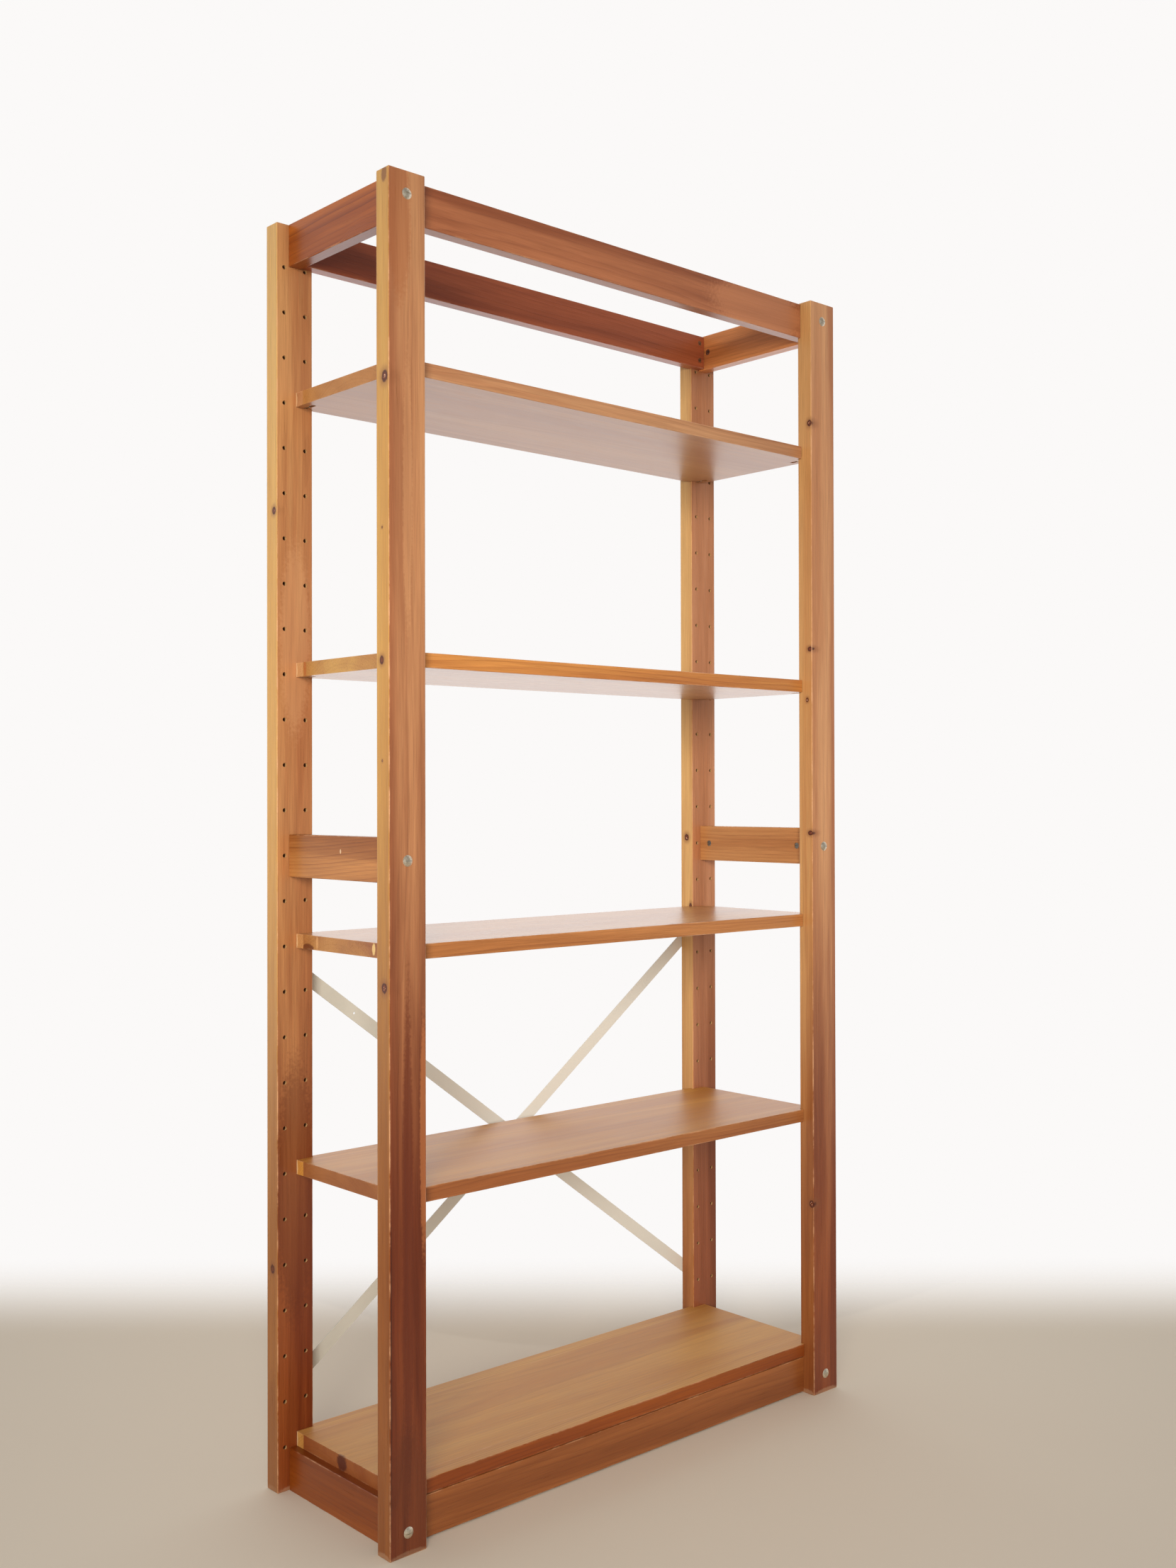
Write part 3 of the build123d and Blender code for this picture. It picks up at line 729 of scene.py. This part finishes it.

# %% [markdown]
# ## The metal
#
# The bolts are nickel-plated steel, warm grey and a little dulled. The barrel nuts, screws and
# pins are plain bright steel. The straps and their screws are steel too, under a thin cream enamel
# that hides the metal, so they are a matt paint and not a mirror. A metal keeps its default
# refractive index: its colour does the work. Smudges only change how rough it is, and a fine noise
# mottles the colour. On the straps the colour is painted lighter from the left end to the middle,
# a painted light.

# %% Metals
def worn_metal(name, colour, tarnish, roughness, mottle, bare=1.0, painted_light_tone=None):
    """A metal, bare or enamelled, with a mottled colour and an uneven polish. Painted light tone
    is the lighter tone that the colour drifts to from the left end to the middle, a painted light."""
    material, output = new_material(name)
    tree = material.node_tree
    place = add_node(tree, "ShaderNodeTexCoord").outputs["Object"]
    clouds = add_node(tree, "ShaderNodeTexNoise",
                      {"Vector": place, "Scale": mottle, "Detail": 5.0, "Roughness": 0.6})
    patches = add_node(tree, "ShaderNodeMapRange",
                       {"Value": clouds.outputs["Fac"], "From Min": 0.42,
                        "From Max": 0.75}).outputs[0]
    tint = add_node(tree, "ShaderNodeMix",
                    {"Factor": patches, "A": linear_colour(colour), "B": linear_colour(tarnish)},
                    data_type="RGBA").outputs[2]
    # A painted light: the colour lightens from the left end to the middle.
    if painted_light_tone:
        across = add_node(tree, "ShaderNodeSeparateXYZ", {0: place}).outputs[0]
        across = add_node(tree, "ShaderNodeMapRange",
                          {"Value": across, "From Min": -0.4, "From Max": 0.0}).outputs[0]
        tint = add_node(tree, "ShaderNodeMix",
                        {"Factor": across, "A": tint, "B": linear_colour(painted_light_tone)},
                        data_type="RGBA").outputs[2]
    polish = add_node(tree, "ShaderNodeMapRange",
                      {"Value": clouds.outputs["Fac"], "From Min": 0.3, "From Max": 0.7,
                       "To Min": roughness - 0.06, "To Max": roughness + 0.1}).outputs[0]
    bump = add_node(tree, "ShaderNodeBump",
                    {"Height": clouds.outputs["Fac"], "Strength": 0.2,
                     "Distance": 0.0001}).outputs[0]
    shader = add_node(tree, "ShaderNodeBsdfPrincipled",
                      {"Base Color": tint, "Metallic": bare, "Roughness": polish, "Normal": bump})
    tree.links.new(shader.outputs[0], output.inputs[0])
    return material


give(["frame_bolts"], worn_metal("nickel_plated_steel", "#E9E0CD", "#B7AB94", 0.48, 400.0))
give(["barrel_nuts", "rail_screws"], worn_metal("plain_steel", "#A9A49A", "#6E675C", 0.42, 500.0))
give([f"{shelf}_{side}_pins" for shelf in shelf_names[:4] for side in ("front", "rear")],
     worn_metal("turned_steel_pin", "#B9B3A6", "#857D6F", 0.35, 500.0))
# The straps carry a painted light that lightens them towards the middle.
give(["inner_strap", "outer_strap", "strap_screws", "strap_rivet"],
     worn_metal("cream_enamelled_steel", "#C0BDB0", "#B6B3A6", 0.60, 14.0, bare=0.0,
                painted_light_tone="#DFDDD2"))
print("materials made:", len(bpy.data.materials))

# %% [markdown]
# ## The floor
#
# The floor is plain, pale and matt. A floor that simply ends would draw a horizon line through the
# bay, so this one fades out a little way behind the bookcase, and far off on every side.

# %% Floor
floor_size, fade_behind, fade_around = 12.0, (0.43, 0.95), (1.8, 4.5)  # metres
bpy.ops.object.select_all(action="DESELECT")
bpy.ops.mesh.primitive_plane_add(size=floor_size, location=(0.0, 0.0, 0.0))
floor = bpy.context.active_object
floor.name = "floor"
material, output = new_material("plain_pale_floor")
tree = material.node_tree
place = add_node(tree, "ShaderNodeTexCoord").outputs["Object"]
away = add_node(tree, "ShaderNodeVectorMath", {0: place, 1: (-backward.x, -backward.y, 0.0)},
                operation="DOT_PRODUCT").outputs["Value"]
behind = add_node(tree, "ShaderNodeMapRange",
                  {"Value": away, "From Min": fade_behind[0], "From Max": fade_behind[1]},
                  interpolation_type="SMOOTHSTEP").outputs[0]
reach = add_node(tree, "ShaderNodeVectorMath", {0: place}, operation="LENGTH").outputs["Value"]
around = add_node(tree, "ShaderNodeMapRange",
                  {"Value": reach, "From Min": fade_around[0], "From Max": fade_around[1]},
                  interpolation_type="SMOOTHSTEP").outputs[0]
fade = add_node(tree, "ShaderNodeMath", {0: behind, 1: around}, operation="MAXIMUM").outputs[0]
paint = add_node(tree, "ShaderNodeBsdfPrincipled",
                 {"Base Color": linear_colour("#E4D8C5"), "Roughness": 0.8})
clear = add_node(tree, "ShaderNodeBsdfTransparent")
mixed = add_node(tree, "ShaderNodeMixShader",
                 {0: fade, 1: paint.outputs[0], 2: clear.outputs[0]})
tree.links.new(mixed.outputs[0], output.inputs[0])
floor.data.materials.append(material)
print("floor:", floor_size, "m square")

# %% [markdown]
# ## The white room
#
# An even white room lights the bookcase from all round, and it is also what the lacquer mirrors.
# The wall behind is the brighter part of that mirror image, and gives the undersides of the
# shelves their pale sheen. A world shader can ask what kind of ray meets it, so the room that
# lights, the room that is mirrored and the room that is seen each get a strength of their own.

# %% White room
world = bpy.data.worlds.new("white_room")
bpy.context.scene.world = world
world.use_nodes = True
world.node_tree.nodes.clear()
tree = world.node_tree
room_light, room_seen = 0.42, 1.0  # what falls on the wood, and what the eye sees
wall_shine, near_shine = 1.7, 0.3  # what the lacquer mirrors, behind and in front
ray = add_node(tree, "ShaderNodeLightPath").outputs
direction = add_node(tree, "ShaderNodeTexCoord").outputs["Generated"]
behind = add_node(tree, "ShaderNodeVectorMath",
                  {0: direction, 1: (-backward.x, -backward.y, 0.0)},
                  operation="DOT_PRODUCT").outputs["Value"]
shine = add_node(tree, "ShaderNodeMapRange",
                 {"Value": behind, "From Min": -0.2, "From Max": 0.85, "To Min": near_shine,
                  "To Max": wall_shine}, interpolation_type="SMOOTHSTEP").outputs[0]
strength = add_node(tree, "ShaderNodeMix",
                    {"Factor": ray["Is Diffuse Ray"], "A": shine, "B": room_light}).outputs[0]
strength = add_node(tree, "ShaderNodeMix",
                    {"Factor": ray["Is Camera Ray"], "A": strength, "B": room_seen}).outputs[0]
room = add_node(tree, "ShaderNodeBackground",
                {"Color": linear_colour("#FBF9F8"), "Strength": strength})
add_node(tree, "ShaderNodeOutputWorld", {0: room.outputs[0]})
print("room light", room_light, "and wall shine", wall_shine)

# %% [markdown]
# ## The window
#
# The main light is one large soft window in front, on the left. Its light and its mirror image
# are two lamps in one place, so that the image can be the weaker one. Otherwise it glares from
# the shelf tops when the bookcase is seen from behind.

# %% Window
window_place, window_target = Vector((-2.6, -2.6, 1.5)), Vector((0.0, 0.0, 0.95))
window_size, window_spread, window_colour = 1.5, math.radians(54.0), "#FFFAF2"


def soft_light(name, power):
    """A square area light at the window. Its beam fades out over the spread."""
    light = bpy.data.lights.new(name, "AREA")
    light.size, light.spread, light.energy = window_size, window_spread, power
    light.color = linear_colour(window_colour)[:3]
    lamp = bpy.data.objects.new(name, light)
    bpy.context.scene.collection.objects.link(lamp)
    aim = (window_target - window_place).to_track_quat("-Z", "Y").to_matrix().to_4x4()
    lamp.matrix_world = Matrix.Translation(window_place) @ aim
    return lamp


window_power, glint_power = 18.5, 4.6
soft_light("window", window_power).visible_glossy = False
soft_light("window_glint", glint_power).visible_diffuse = False
bpy.context.scene.view_settings.view_transform = "Standard"
print("window stands", round((window_place - window_target).length, 2), "m away")
